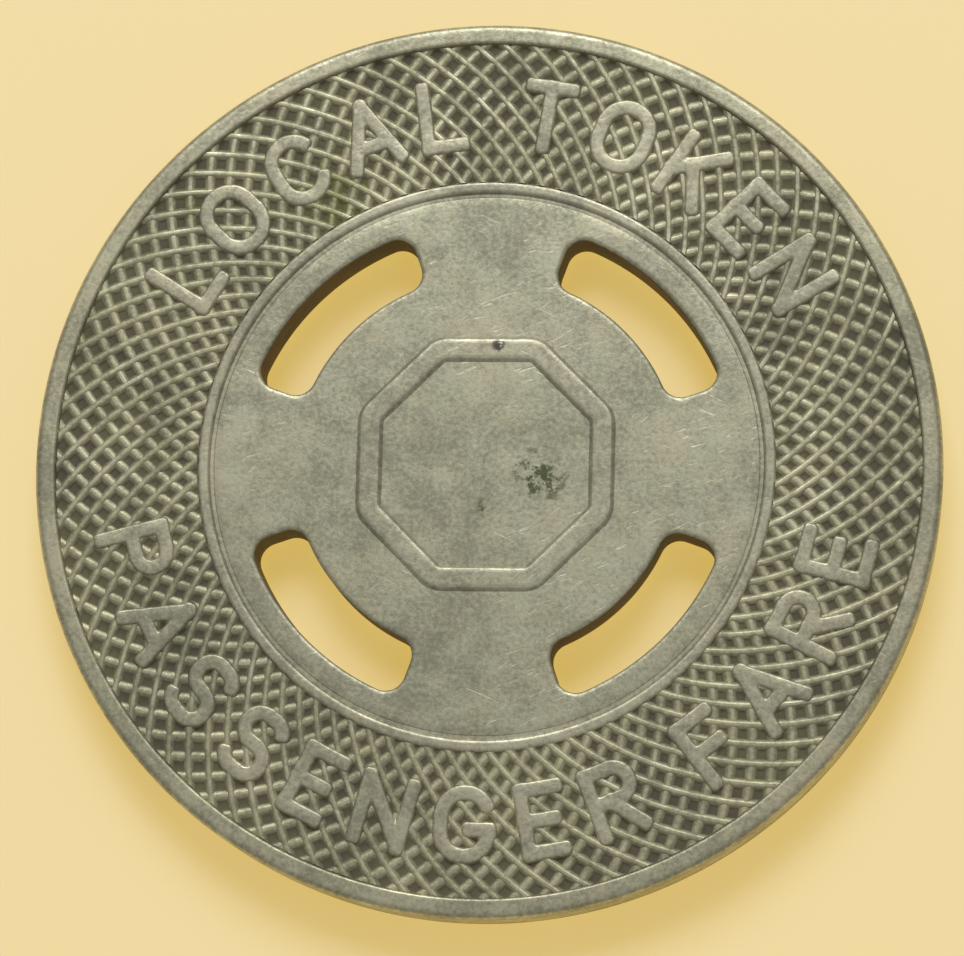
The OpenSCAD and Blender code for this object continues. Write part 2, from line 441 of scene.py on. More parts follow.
@dataclass(frozen=True)
class Bar:
    """A straight stroke; square says that its ends run on by half a stroke."""

    x0: float
    y0: float
    x1: float
    y1: float
    square: bool = True

    def distance(self, x: Array, y: Array, half: float, soft: float) -> Array:
        """Distance outside the stroke's edge.

        Args:
            x: X of the points.
            y: Y of the points.
            half: Half the stroke's width.
            soft: The radius that rounds its corners.

        Returns:
            Distances, negative inside.
        """
        length = math.hypot(self.x1 - self.x0, self.y1 - self.y0)
        ux, uy = (self.x1 - self.x0) / length, (self.y1 - self.y0) / length
        along = (x - self.x0) * ux + (y - self.y0) * uy - length / 2
        across = (y - self.y0) * ux - (x - self.x0) * uy
        reach = length / 2 + (half - soft if self.square else 0)
        dx, dy = abs(along) - reach, abs(across) - half + soft
        return np.hypot(np.maximum(dx, 0), np.maximum(dy, 0)) + np.minimum(np.maximum(dx, dy), 0) - soft


@dataclass(frozen=True)
class Bow:
    """A round stroke about (x, y), from one angle in degrees to another."""

    x: float
    y: float
    r: float
    start: float
    stop: float

    def distance(self, x: Array, y: Array, half: float, soft: float) -> Array:
        """Distance outside the stroke's edge.

        Args:
            x: X of the points.
            y: Y of the points.
            half: Half the stroke's width.
            soft: The radius that rounds its corners.

        Returns:
            Distances, negative inside.
        """
        middle = math.radians((self.start + self.stop) / 2)
        span = math.radians(self.stop - self.start) / 2
        r = np.hypot(x - self.x, y - self.y)
        angle = np.arctan2(y - self.y, x - self.x) - middle
        angle = abs((angle + math.pi) % TURN - math.pi)
        past = np.maximum(angle - span, 0)
        beyond = r * np.sin(np.minimum(past, math.pi / 2))
        across = np.where(past > 0, abs(r * np.cos(past) - self.r), abs(r - self.r)) - half + soft
        inside = np.minimum(across, 0)
        return np.hypot(beyond, np.maximum(across, 0)) + inside * (past == 0) - soft


class Alphabet:
    """Plain block capitals made of straight and round strokes."""

    SHARES = {
        "E": 0.44, "F": 0.44, "L": 0.44, "P": 0.5, "S": 0.5, "R": 0.52, "T": 0.52, "K": 0.52,
        "D": 0.56, "N": 0.56, "C": 0.56,
    }
    WIDE = 0.6
    SOFT = 0.11  # millimetres by which the strokes' corners are rounded
    JOIN = 0.012  # millimetres by which strokes run softly into each other

    def width(self, letter: str) -> float:
        """The width between the middles of a letter's outer strokes."""
        return self.SHARES.get(letter, self.WIDE) * SIZES.letter_h

    def advance(self, letter: str) -> float:
        """How far along the band a character reaches."""
        if letter == " ":
            return SIZES.word_gap
        return self.width(letter) + SIZES.letter_line_w + SIZES.letter_gap

    def strokes(self, letter: str) -> list[Bar | Bow]:
        """The strokes of a letter, with its lower left corner at the origin.

        Args:
            letter: A capital letter.

        Returns:
            Its strokes, in millimetres.
        """
        w, h = self.width(letter), SIZES.letter_h - SIZES.letter_line_w
        side, bowl, corner = w / 2, h / 4, 0.36 * h
        stem, top, foot = Bar(0, 0, 0, h), Bar(0, h, w, h), Bar(0, 0, w, 0)
        middle = Bar(0, h / 2, 0.85 * w, h / 2)
        hollow = [
            Bow(side, h - side, side, 25, 180), Bow(side, side, side, 180, 335),
            Bar(0, side, 0, h - side, False),
        ]
        head = [
            stem, Bar(0, h, w - bowl, h, False), Bar(0, h / 2, w - bowl, h / 2, False),
            Bow(w - bowl, h - bowl, bowl, -90, 90),
        ]
        forms = {
            "A": [Bar(0, 0, side, h), Bar(w, 0, side, h), Bar(0.2 * w, 0.3 * h, 0.8 * w, 0.3 * h, False)],
            "C": hollow,
            "D": [
                stem, Bar(0, h, w - corner, h, False), Bar(0, 0, w - corner, 0, False),
                Bar(w, corner, w, h - corner, False),
                Bow(w - corner, h - corner, corner, 0, 90), Bow(w - corner, corner, corner, 270, 360),
            ],
            "E": [stem, top, middle, foot],
            "F": [stem, top, middle],
            "G": [
                hollow[0], Bow(side, side, side, 180, 360), hollow[2],
                Bar(w, side, w, 0.42 * h), Bar(0.6 * w, 0.42 * h, w, 0.42 * h),
            ],
            "K": [stem, Bar(0, corner, w, h), Bar(0.4 * w, corner + 0.4 * (h - corner), w, 0)],
            "L": [stem, foot],
            "N": [stem, Bar(w, 0, w, h), Bar(0, h, w, 0, False)],
            "O": [
                Bow(side, h - side, side, 0, 180), Bow(side, side, side, 180, 360),
                Bar(0, side, 0, h - side, False), Bar(w, side, w, h - side, False),
            ],
            "P": head,
            "R": [*head, Bar(0.4 * w, h / 2, w, 0)],
            "S": [
                Bow(bowl, h - bowl, bowl, 90, 270), Bow(w - bowl, h - bowl, bowl, 25, 90),
                Bow(w - bowl, bowl, bowl, -90, 90), Bow(bowl, bowl, bowl, 205, 270),
                Bar(bowl, h, w - bowl, h, False), Bar(bowl, h / 2, w - bowl, h / 2, False),
                Bar(bowl, 0, w - bowl, 0, False),
            ],
            "T": [top, Bar(side, 0, side, h)],
        }
        return forms[letter]

    def distance(self, letter: str, x: Array, y: Array) -> Array:
        """Distance outside a letter centred on the origin.

        Args:
            letter: A capital letter.
            x: X of the points.
            y: Y of the points.

        Returns:
            Distances, negative inside the strokes, softly joined in the corners.
        """
        w, h = self.width(letter), SIZES.letter_h - SIZES.letter_line_w
        total = np.zeros_like(x)
        for stroke in self.strokes(letter):
            gap = stroke.distance(x + w / 2, y + h / 2, SIZES.letter_line_w / 2, self.SOFT)
            total += np.exp(-np.clip(gap, -1, 1) / self.JOIN)
        return -self.JOIN * np.log(total + 1e-30)


# --- Sub-assemblies ------------------------------------------------------------------------


@dataclass
class Blank:
    """The pierced disc between the two faces: the outer edge and the slots' walls."""

    finish: "MetalFinish"
    columns: int = 1440
    slot_steps: int = 40
    layers: int = 9
    face_dirt: float = 0.9
    edge_dirt: float = 0.12
    edge_wear: float = 0.3
    scuff: float = 0.006

    def build(self) -> bpy.types.Object:
        """Builds the disc as one closed mesh and dresses it.

        Returns:
            The finished piece.
        """
        shell = Shell("blank_disc")
        low, top = SIZES.token_t - SIZES.floor_z, SIZES.floor_z
        angle = np.arange(self.columns) * TURN / self.columns
        rim = SIZES.token_r * np.stack([np.cos(angle), np.sin(angle)], 1)
        slots = [slot_outline(middle, 0, self.slot_steps) for middle in SLOT_MIDDLES]
        heights = np.linspace(low, top, self.layers)
        flat, triangles = pierced_disc(rim, slots, np.zeros((0, 2)))
        caps = []
        for z in (low, top):
            points = np.column_stack([flat, np.full(len(flat), z)])
            caps.append(shell.add_points(points, self.face_dirt, 0.0))
        shell.faces.append(caps[0][triangles][:, ::-1])
        shell.faces.append(caps[1][triangles])
        at = 0
        for number, loop in enumerate([rim, *slots]):
            ring = np.arange(at, at + len(loop))
            at += len(loop)
            between = []
            for z in heights[1:-1]:
                scuff = self.scuff * patchy(loop[:, 0] * 3, loop[:, 1] * 3 + z * 2, 0.6, 40 + number)
                pull = 1 - abs(scuff) / np.hypot(loop[:, 0], loop[:, 1])
                sheet = loop * (pull[:, None] if number == 0 else 1)
                points = np.column_stack([sheet, np.full(len(loop), z)])
                # The slots' walls take the full cavity mask and the core's dark brown: painted shade mixed
                # with some grime.
                dirt, wear = (self.edge_dirt, self.edge_wear) if number == 0 else (1.0, 0.0)
                between.append(shell.add_points(points, dirt, wear))
            rows = np.array([caps[0][ring], *between, caps[1][ring]])
            shell.add_quads(rows if number == 0 else rows[:, ::-1], wrap=True)
        return shell.settle(Side.FRONT, "blank", self.finish)


@dataclass
class Rim:
    """The raised border of one face, drafted inside and rounded outside."""

    side: Side
    finish: "MetalFinish"
    columns: int = 1440
    round_r: float = 0.12
    draft: float = 0.04
    shoulder: float = 0.05
    steps: int = 7
    ripple: float = 0.006
    wall_dirt: float = 0.08
    wall_wear: float = 0.3
    flat_wear: float = 0.45
    edge_wear: float = 0.6

    def build(self) -> bpy.types.Object:
        """Builds the rim and dresses it.

        Returns:
            The finished piece.
        """
        top, floor = SIZES.token_t, SIZES.floor_z
        inner, outer = SIZES.rim_inner_r, SIZES.token_r
        turn = np.linspace(0, math.pi / 2, self.steps)
        inside = np.stack([
            inner + self.draft + self.shoulder * (1 - np.cos(turn)),
            top - self.shoulder * (1 - np.sin(turn)),
        ], 1)
        outside = np.stack([
            outer - self.round_r * (1 - np.sin(turn)),
            top - self.round_r * (1 - np.cos(turn)),
        ], 1)
        flat = np.linspace(inside[-1], outside[0], 6)[1:-1]
        foot = np.array([[outer, floor], [inner, floor], [inner, floor + 0.01]])
        profile = np.concatenate([inside, flat, outside, foot])
        masks = np.zeros_like(profile)
        masks[: len(inside), 1] = np.linspace(0.0, self.wall_wear, len(inside))
        masks[: len(inside), 0] = np.linspace(self.wall_dirt, 0.0, len(inside))
        masks[len(inside): len(inside) + len(flat), 1] = self.flat_wear
        rounded = np.linspace(self.edge_wear, self.edge_wear / 2, len(outside))
        masks[len(inside) + len(flat): -len(foot), 1] = rounded
        masks[-len(foot):, 0] = [0.1, 1.0, 1.0]
        shell = Shell(f"{self.side.value}_rim_ring")
        shell.add_lathe(profile[::-1], masks[::-1], self.columns, self.ripple, 11)
        return shell.settle(self.side, self.side.node("rim"), self.finish)


@dataclass
class InnerRing:
    """The narrow raised ring that bounds the lettering band, and its groove."""

    side: Side
    finish: "MetalFinish"
    columns: int = 1200
    steps: int = 19
    groove_w: float = 0.06
    groove_depth: float = 0.012
    foot: float = 0.02
    squareness: float = 5
    ripple: float = 0.008
    crown_wear: float = 0.5
    flank_darkening: float = 0.3
    groove_dirt: float = 0.4

    def build(self) -> bpy.types.Object:
        """Builds the ring and dresses it.

        Returns:
            The finished piece.
        """
        outer, inner = SIZES.ring_r, SIZES.ring_r - SIZES.ring_w
        top, floor = SIZES.ring_z, SIZES.floor_z
        share = np.linspace(0, 1, self.steps)
        crown = 1 - abs(2 * share - 1) ** self.squareness
        base = floor + self.foot
        low = base + (SIZES.centre_z - self.groove_depth - base) * smoothstep(0.4, 0, share)
        crest = np.stack([inner + share * (outer - inner), low + (top - low) * crown], 1)
        groove = np.array([[inner - self.groove_w, floor], [inner - self.groove_w, crest[0, 1]]])
        profile = np.concatenate([groove, crest, [[outer, floor]]])
        masks = np.zeros_like(profile)
        masks[2:-1, 1] = self.crown_wear * crown
        masks[2:-1, 0] = self.flank_darkening * (1 - crown) ** 2
        masks[[0, -1], 0] = 1.0
        masks[1, 0] = self.groove_dirt
        shell = Shell(f"{self.side.value}_inner_ring_bead")
        shell.add_lathe(profile[::-1], masks[::-1], self.columns, self.ripple, 23)
        return shell.settle(self.side, self.side.node("inner_ring"), self.finish)


@dataclass
class Lattice:
    """One family of ridges, with the floor of the lettering band between them.

    The grid runs along the ridges, so that every crest is one clean line of vertices.
    """

    side: Side
    finish: "MetalFinish"
    lean: Lean
    rows: int = 44
    crest_half_w: float = 0.02
    foot_half_w: float = 0.142
    half_steps: tuple[float, ...] = (0.0, 0.04, 0.08, 0.13, 0.18, 0.24, 0.31, 0.4)
    inner_overrun: float = 0.02
    outer_overrun: float = 0.03
    waver: float = 0.008
    worn: tuple[Ripple, ...] = (Ripple(0.004, 0.5, 37), Ripple(0.003, 0.12, 38))

    def shares(self) -> Array:
        """Where the grid's columns lie in each pitch, as shares of it from the crest."""
        half = np.array(self.half_steps)
        return np.concatenate([half, [0.5], 1 - half[:0:-1]])

    def relief(self, r: Array, angle: Array, share: Array) -> tuple[Array, Array]:
        """Heights of the ridges over the band.

        Args:
            r: Radii in millimetres.
            angle: Angles in radians.
            share: Distances from the nearest crest, as shares of the pitch.

        Returns:
            Heights in millimetres, and how near each point is to a crest, from 0 to 1.
        """
        x, y = r * np.cos(angle), r * np.sin(angle)
        width = SIZES.rim_inner_r - SIZES.ring_r
        radial = SIZES.ridge_count * SIZES.ridge_sweep / TURN / width
        pitch = 1 / np.hypot(SIZES.ridge_count / TURN / r, radial)
        ridge = 1 - smoothstep(self.crest_half_w, self.foot_half_w, share * pitch)
        pit = SIZES.floor_z + self.lean.lift * (1 + 0.3 * patchy(x, y, 0.16, 35))
        worn = sum(ripple.at(x, y) for ripple in self.worn)
        return pit + (SIZES.crest_z - self.lean.drop - worn - pit) * ridge, ridge

    def build(self) -> bpy.types.Object:
        """Builds the family as one closed ring and dresses it.

        Returns:
            The finished piece.
        """
        shares = self.shares()
        turns = (np.arange(SIZES.ridge_count)[:, None] + shares).reshape(-1)
        start, stop = SIZES.ring_r - self.inner_overrun, SIZES.rim_inner_r + self.outer_overrun
        radius = np.linspace(start, stop, self.rows + 1)
        run = (radius - SIZES.ring_r) / (SIZES.rim_inner_r - SIZES.ring_r)
        sway = self.lean.way * SIZES.ridge_sweep * run[:, None]
        a = turns * TURN / SIZES.ridge_count + sway
        r = np.broadcast_to(radius[:, None], a.shape)
        away = np.broadcast_to(abs(turns - np.round(turns)), a.shape)
        x, y = r * np.cos(a), r * np.sin(a)
        waver = self.waver * patchy(x, y, 0.9, 31)
        x, y = x * (1 + waver / r), y * (1 + waver / r)
        z, ridge = self.relief(r, a, away)
        shell = Shell(f"{self.side.value}_{self.lean.value}_ridges")
        rubbed = 0.5 + 0.35 * patchy(x, y, 0.8, 39) + 0.15 * patchy(x, y, 0.2, 40)
        wear = smoothstep(0.85, 1.0, ridge) * rubbed
        points = np.stack([x, y, z], -1)
        top = shell.add_points(points, 1 - smoothstep(0.05, 0.8, ridge), wear)
        edges = points[[0, -1]].copy()
        edges[..., 2] = SIZES.floor_z
        inner, outer = shell.add_points(edges, 1.0, 0.0)
        shell.add_quads(np.array([inner, outer, *top[::-1], inner]), wrap=True)
        return shell.settle(self.side, self.side.node(self.lean.value), self.finish)


@dataclass
class Centre:
    """The flat centre of one face, its edge and the rolled lips of its slots."""

    side: Side
    finish: "MetalFinish"
    edge_steps: int = 900
    slot_steps: int = 40
    grid: float = 0.1
    lip: float = 0.08
    edge_lip: float = 0.03
    layers: int = 7
    lip_foot: float = 0.008
    flat_wear: float = 0.12
    lip_wear: float = 0.25
    waves: tuple[Ripple, ...] = (Ripple(0.0025, 1.1, 51), Ripple(0.002, 0.35, 52))

    def surface(self, x: Array, y: Array) -> Array:
        """Heights of the flat centre, with the slight waves of a struck and handled face.

        Args:
            x: X in millimetres.
            y: Y in millimetres.

        Returns:
            Heights in millimetres.
        """
        return SIZES.centre_z - sum(wave.at(x, y) for wave in self.waves)

    def loop(self, number: int, grow: float) -> Array:
        """One edge of the centre: 0 is its round outside, and 1 to 4 are its slots.

        Args:
            number: Which edge.
            grow: How far the edge draws back from the opening, in millimetres.

        Returns:
            Points (n, 2) in millimetres.
        """
        if number > 0:
            return slot_outline(SLOT_MIDDLES[number - 1], grow, self.slot_steps)
        angle = np.arange(self.edge_steps) * TURN / self.edge_steps
        return (SIZES.centre_r - grow) * np.stack([np.cos(angle), np.sin(angle)], 1)

    def build(self) -> bpy.types.Object:
        """Builds the centre as one closed mesh and dresses it.

        Returns:
            The finished piece.
        """
        shell = Shell(f"{self.side.value}_centre_field")
        slots = range(1, len(SLOT_MIDDLES) + 1)
        ticks = np.arange(-SIZES.centre_r, SIZES.centre_r, self.grid)
        x, y = (g.reshape(-1) for g in np.meshgrid(ticks, ticks))
        clear = self.lip + self.grid / 2
        inside = (np.hypot(x, y) < SIZES.centre_r - clear) & (slot_depth(x, y) > clear)
        holes = [self.loop(number, self.lip) for number in slots]
        spots = np.stack([x[inside], y[inside]], 1)
        flat, triangles = pierced_disc(self.loop(0, self.edge_lip), holes, spots)
        z = self.surface(flat[:, 0], flat[:, 1])
        top = shell.add_points(np.column_stack([flat, z]), 0.0, self.flat_wear)
        shell.faces.append(top[triangles])
        under, below = pierced_disc(self.loop(0, 0), [self.loop(n, 0) for n in slots], np.zeros((0, 2)))
        bottom = shell.add_points(np.column_stack([under, np.full(len(under), SIZES.floor_z)]), 1.0, 0.0)
        shell.faces.append(bottom[below][:, ::-1])
        at = 0
        drop = SIZES.centre_z - SIZES.floor_z - self.lip_foot
        for number in (0, *slots):
            lip = self.edge_lip if number == 0 else self.lip
            ring = np.arange(at, at + len(self.loop(number, 0)))
            at += len(ring)
            rows = [top[ring]]
            for share in np.linspace(0, 1, self.layers)[1:]:
                sheet = self.loop(number, lip * (1 - math.sin(share * math.pi / 2)))
                fall = drop * (1 - math.cos(share * math.pi / 2))
                shine = self.flat_wear + self.lip_wear * math.sqrt(math.sin(share * math.pi))
                shine *= 0.4 if number == 0 else 1
                points = np.column_stack([sheet, z[ring] - fall])
                # Near the foot the cavity mask rises: down the slots' walls it is painted shade mixed with
                # some grime, and at the outer edge it darkens the groove by the ring.
                rows.append(shell.add_points(points, max(0.0, share - 0.8) * 4, shine))
            rows.append(bottom[ring])
            order = np.array(rows)
            shell.add_quads(order[::-1] if number == 0 else order[::-1, ::-1], wrap=True)
        return shell.settle(self.side, self.side.node("medallion"), self.finish)


@dataclass
class EmblemFrame:
    """The plain eight-sided frame that stands on the centre."""

    side: Side
    finish: "MetalFinish"
    sides: int = 8
    corner_r: float = 0.32
    side_steps: int = 40
    corner_steps: int = 8
    slope: float = 0.1
    sunk: float = 0.012
    # The bright bands along both edges of the frame are wear and painted highlight.
    edge_wear: float = 0.7
    inner_wear_and_glint: float = 0.6
    top_wear: float = 0.15
    waves: Ripple = Ripple(0.0025, 0.5, 61)

    def path(self, offset: float) -> Array:
        """The frame's rounded outline, moved outwards by an offset from its middle line.

        Args:
            offset: The distance in millimetres, negative inwards.

        Returns:
            Points (n, 2), counter-clockwise.
        """
        middle = SIZES.emblem_half_w - SIZES.emblem_line_w / 2
        half_turn = math.pi / self.sides
        hub_r = (middle - self.corner_r) / math.cos(half_turn)
        points = []
        for i in range(self.sides):
            at = half_turn * (2 * i + 1)
            hub = hub_r * np.array([math.cos(at), math.sin(at)])
            fan = at + np.linspace(-half_turn, half_turn, self.corner_steps)
            r = self.corner_r + offset
            arc = hub + r * np.stack([np.cos(fan), np.sin(fan)], 1)
            after = half_turn * (2 * i + 3)
            far_hub = hub_r * np.array([math.cos(after), math.sin(after)])
            facing = at + half_turn
            start = arc[-1]
            stop = far_hub + r * np.array([math.cos(facing), math.sin(facing)])
            share = np.linspace(0, 1, self.side_steps + 2)[1:-1, None]
            points += [arc, start + (stop - start) * share]
        return np.concatenate(points)

    def build(self) -> bpy.types.Object:
        """Builds the frame as a closed sweep and dresses it.

        Returns:
            The finished piece.
        """
        half = SIZES.emblem_line_w / 2
        base, top = SIZES.centre_z - self.sunk, SIZES.emblem_z
        share = np.linspace(0, 1, 7)
        wall = smoothstep(0, 1, share)
        side = half - self.slope * share
        offsets = np.concatenate([side, np.linspace(side[-1], -side[-1], 6)[1:-1], -side[::-1]])
        lifts = np.concatenate([wall, np.ones(4), wall[::-1]])
        # Wear and painted highlight along both edges of the frame, brightest at the top of each slope.
        worn = np.sin(share * math.pi / 2)
        flat = np.full(4, self.top_wear)
        wear_and_glint = np.concatenate([worn * self.edge_wear, flat, worn[::-1] * self.inner_wear_and_glint])
        # The feet of the frame's slopes, inside and outside, darken: painted shade mixed with some grime.
        dirt = np.concatenate([(1 - share) ** 2, np.zeros(4), (1 - share[::-1]) ** 2])
        shell = Shell(f"{self.side.value}_emblem_frame_line")
        rows = []
        for offset, lift, wear, dirt_and_shade in zip(offsets, lifts, wear_and_glint, dirt):
            loop = self.path(offset)
            sink = self.waves.at(loop[:, 0], loop[:, 1]) * lift
            points = np.column_stack([loop, base + (top - base) * lift - sink])
            rubbed = wear * (0.8 + 0.2 * patchy(loop[:, 0], loop[:, 1], 0.4, 62))
            rows.append(shell.add_points(points, dirt_and_shade, rubbed))
        shell.add_quads(np.array([*rows, rows[0]]), wrap=True)
        return shell.settle(self.side, self.side.node("emblem_frame"), self.finish)


@dataclass
class Legend:
    """One arc of raised letters."""

    side: Side
    place: Place
    words: str
    finish: "MetalFinish"
    alphabet: Alphabet = field(default_factory=Alphabet)
    cell: float = 0.02
    skirt: float = 0.035
    shoulder: float = 0.04
    crown: float = 0.008
    foot: float = 0.004
    # darkening round each letter's foot: painted shade mixed with some grime
    flank_darkening: float = 0.45
    worn: tuple[Ripple, ...] = (Ripple(0.003, 0.45, 71), Ripple(0.002, 0.12, 73))

    def angles(self) -> list[float]:
        """The angle of each character from the middle of the arc.

        Returns:
            Angles in radians, spaces included.
        """
        reach, middles = 0.0, []
        for letter in self.words:
            middles.append(reach + self.alphabet.advance(letter) / 2)
            reach += self.alphabet.advance(letter)
        return [(middle - reach / 2) / SIZES.band_mid_r for middle in middles]

    def add_letter(self, shell: Shell, letter: str, angle: float) -> None:
        """Adds one closed letter to the shell.

        Args:
            shell: The mesh that the letter joins.
            letter: A capital letter.
            angle: Its angle from the middle of the arc, in radians.
        """
        half_w = self.alphabet.width(letter) / 2 + SIZES.letter_line_w + 2 * self.skirt
        half_h = SIZES.letter_h / 2 + 2 * self.skirt + self.cell
        xs = np.arange(-half_w, half_w, self.cell)
        ys = np.arange(-half_h, half_h, self.cell)
        x, y = np.meshgrid(xs, ys, indexing="ij")
        gap = self.alphabet.distance(letter, x, y)
        cell_gap = (gap[:-1, :-1] + gap[1:, :-1] + gap[1:, 1:] + gap[:-1, 1:]) / 4
        kept = cell_gap < self.skirt
        uses = np.zeros_like(gap)
        for i, j in ((0, 0), (1, 0), (1, 1), (0, 1)):
            uses[i: i + kept.shape[0], j: j + kept.shape[1]] += kept
        border = (uses > 0) & (uses < 4)
        gx, gy = np.gradient(gap, self.cell)
        steep = np.maximum(gx ** 2 + gy ** 2, 0.25)
        move = np.clip((gap - self.skirt) / steep, -self.cell, self.cell) * border
        x, y = x - move * gx, y - move * gy
        gap = np.where(border, self.skirt, gap)
        rise = smoothstep(0, 1, (self.skirt - gap) / (self.skirt + self.shoulder))
        if self.place is Place.TOP:
            turn, lift = -angle, SIZES.band_mid_r
        else:
            turn, lift = angle, -SIZES.band_mid_r
        wx = x * math.cos(turn) - (y + lift) * math.sin(turn)
        wy = x * math.sin(turn) + (y + lift) * math.cos(turn)
        crown = self.crown * np.sin(np.clip(-gap / SIZES.letter_line_w * 2, 0, 1) * math.pi / 2)
        worn = sum(ripple.at(wx, wy) for ripple in self.worn)
        base = SIZES.floor_z + self.foot
        z = base + (SIZES.letter_z - self.crown - worn - base) * rise + crown * rise
        wear = rise * (0.3 + 0.2 * patchy(wx, wy, 0.3, 72))
        used = uses > 0
        # The cavity mask darkens each letter's foot: painted shade mixed with some grime.
        dirt = self.flank_darkening * (1 - rise)
        top = shell.add_points(np.stack([wx, wy, z], -1)[used], dirt[used], wear[used])
        floor = np.stack([wx, wy, np.full_like(wx, SIZES.floor_z)], -1)[used]
        under = shell.add_points(floor, 1.0, 0.0)
        number = np.full(gap.shape, -1)
        number[used] = np.arange(len(top))
        i, j = np.nonzero(kept)
        quads = np.stack([number[i, j], number[i + 1, j], number[i + 1, j + 1], number[i, j + 1]], 1)
        shell.faces.append(top[quads])
        shell.faces.append(under[quads][:, ::-1])
        edges = np.concatenate([quads[:, [k, (k + 1) % 4]] for k in range(4)])
        key = edges[:, 0] * len(top) + edges[:, 1]
        twin = edges[:, 1] * len(top) + edges[:, 0]
        open_edges = edges[~np.isin(key, twin)]
        a, b = open_edges[:, 0], open_edges[:, 1]
        shell.faces.append(np.stack([top[b], top[a], under[a], under[b]], 1))

    def build(self) -> bpy.types.Object:
        """Builds the arc of letters and dresses it.

        Returns:
            The finished piece.
        """
        shell = Shell(f"{self.side.value}_legend_{self.place.value}_letters")
        for letter, angle in zip(self.words, self.angles()):
            if letter != " ":
                self.add_letter(shell, letter, angle)
        return shell.settle(self.side, self.side.node(f"legend_{self.place.value}"), self.finish)


# --- Shader groups -------------------------------------------------------------------------

# Runs of scratches: direction in radians, then noise cells per metre across and along.
SCRATCH_RUNS = (
    (-0.5, 11000.0, 2600.0), (-0.32, 9500.0, 1700.0), (-0.68, 12500.0, 2200.0), (0.4, 13500.0, 900.0),
)


Input = bpy.types.NodeSocket | float | tuple  # what a node's input takes: a link or a constant
GroupParts = tuple[bpy.types.NodeTree, "Nodes", bpy.types.Node, bpy.types.Node]


class Nodes:
    """A small hand for laying out and joining shader nodes in one tree."""

    def __init__(self, tree: bpy.types.NodeTree) -> None:
        """Starts on a tree.

        Args:
            tree: The node tree that new nodes go to.
        """
        self.tree = tree

    def add(self, kind: str, inputs: dict | None = None, **settings: object) -> bpy.types.Node:
        """Adds a node.

        Args:
            kind: The node's type name without "ShaderNode".
            inputs: Values or sockets for its inputs, by name or number.
            settings: Attributes to set on it first.

        Returns:
            The new node.
        """
        node = self.tree.nodes.new("ShaderNode" + kind)
        for name, value in settings.items():
            setattr(node, name, value)
        return self.fill(node, inputs or {})

    def fill(self, node: bpy.types.Node, inputs: dict) -> bpy.types.Node:
        """Links or sets a node's inputs.

        Args:
            node: The node.
            inputs: Sockets to link or values to set, by name or number.

        Returns:
            The same node.
        """
        for key, value in inputs.items():
            if isinstance(value, bpy.types.NodeSocket):
                self.tree.links.new(value, node.inputs[key])
            else:
                node.inputs[key].default_value = value
        return node

    def group(self, key: str, inputs: dict | None = None) -> bpy.types.Node:
        """Places one of the shared shader groups.

        Args:
            key: The group's name.
            inputs: Sockets or values for its inputs.

        Returns:
            The group's node.
        """
        node = self.tree.nodes.new("ShaderNodeGroup")
        node.node_tree = bpy.data.node_groups[key]
        return self.fill(node, inputs or {})

    def place(self) -> bpy.types.NodeSocket:
        """The point being shaded, in the token's own frame."""
        return self.add("TexCoord").outputs["Object"]

    def math(self, operation: str, *values: Input, clamp: bool = False) -> bpy.types.NodeSocket:
        """Adds a Math node and returns its result."""
        return self.add("Math", dict(enumerate(values)), operation=operation, use_clamp=clamp).outputs[0]

    def spread(self, value: Input, low: float, top: float, to_low: float = 0.0,
               to_top: float = 1.0) -> bpy.types.NodeSocket:
        """Maps a value smoothly from one range to another and returns the result."""
        inputs = {"Value": value, "From Min": low, "From Max": top, "To Min": to_low, "To Max": to_top}
        return self.add("MapRange", inputs, interpolation_type="SMOOTHSTEP").outputs["Result"]

    def noise(self, vector: Input, scale: float, detail: float = 3.0,
              roughness: float = 0.55) -> bpy.types.NodeSocket:
        """Adds noise texture and returns its value."""
        inputs = {"Vector": vector, "Scale": scale, "Detail": detail, "Roughness": roughness}
        return self.add("TexNoise", inputs).outputs["Fac"]

    def mix(self, share: Input, first: Input, second: Input) -> bpy.types.NodeSocket:
        """Mixes two colours and returns the result."""
        return self.add("Mix", {0: share, 6: first, 7: second}, data_type="RGBA").outputs[2]


def new_group(name: str, inputs: dict[str, float], outputs: list[str]) -> GroupParts:
    """Starts a shader node group.

    Args:
        name: The group's name.
        inputs: Its float inputs with their default values.
        outputs: Its float outputs.

    Returns:
        The tree, a Nodes for it, its input node and its output node.
    """
    tree = bpy.data.node_groups.new(name, "ShaderNodeTree")
    for key, value in inputs.items():
        socket = tree.interface.new_socket(key, in_out="INPUT", socket_type="NodeSocketFloat")
        socket.default_value = value
    for key in outputs:
        tree.interface.new_socket(key, in_out="OUTPUT", socket_type="NodeSocketFloat")
    return tree, Nodes(tree), tree.nodes.new("NodeGroupInput"), tree.nodes.new("NodeGroupOutput")


def metal_grain_group() -> bpy.types.NodeTree:
    """Cloudy tone, fine grain and tint of aged metal: outputs Tone, Grain, Speck and Tint.

    Returns:
        The group's tree.
    """
    tree, nodes, _, out = new_group("metal_grain", {}, ["Tone", "Grain", "Speck", "Tint"])
    place = nodes.place()
    broad = nodes.noise(place, 560.0, 4.0, 0.6)
    close = nodes.noise(place, 2600.0, 4.0, 0.65)
    grain = nodes.noise(place, 12000.0, 3.0, 0.7)
    tone = nodes.math("ADD", nodes.math("MULTIPLY", broad, 0.36), nodes.math("MULTIPLY", close, 0.24))
    tone = nodes.math("ADD", tone, nodes.math("MULTIPLY", grain, 0.4))
    speck = nodes.spread(nodes.noise(place, 5200.0, 2.0, 0.5), 0.72, 0.8)
    tree.links.new(nodes.spread(tone, 0.37, 0.63), out.inputs["Tone"])
    tree.links.new(grain, out.inputs["Grain"])
    tree.links.new(speck, out.inputs["Speck"])
    tree.links.new(nodes.spread(nodes.noise(place, 1500.0, 3.0, 0.6), 0.38, 0.62), out.inputs["Tint"])
    return tree


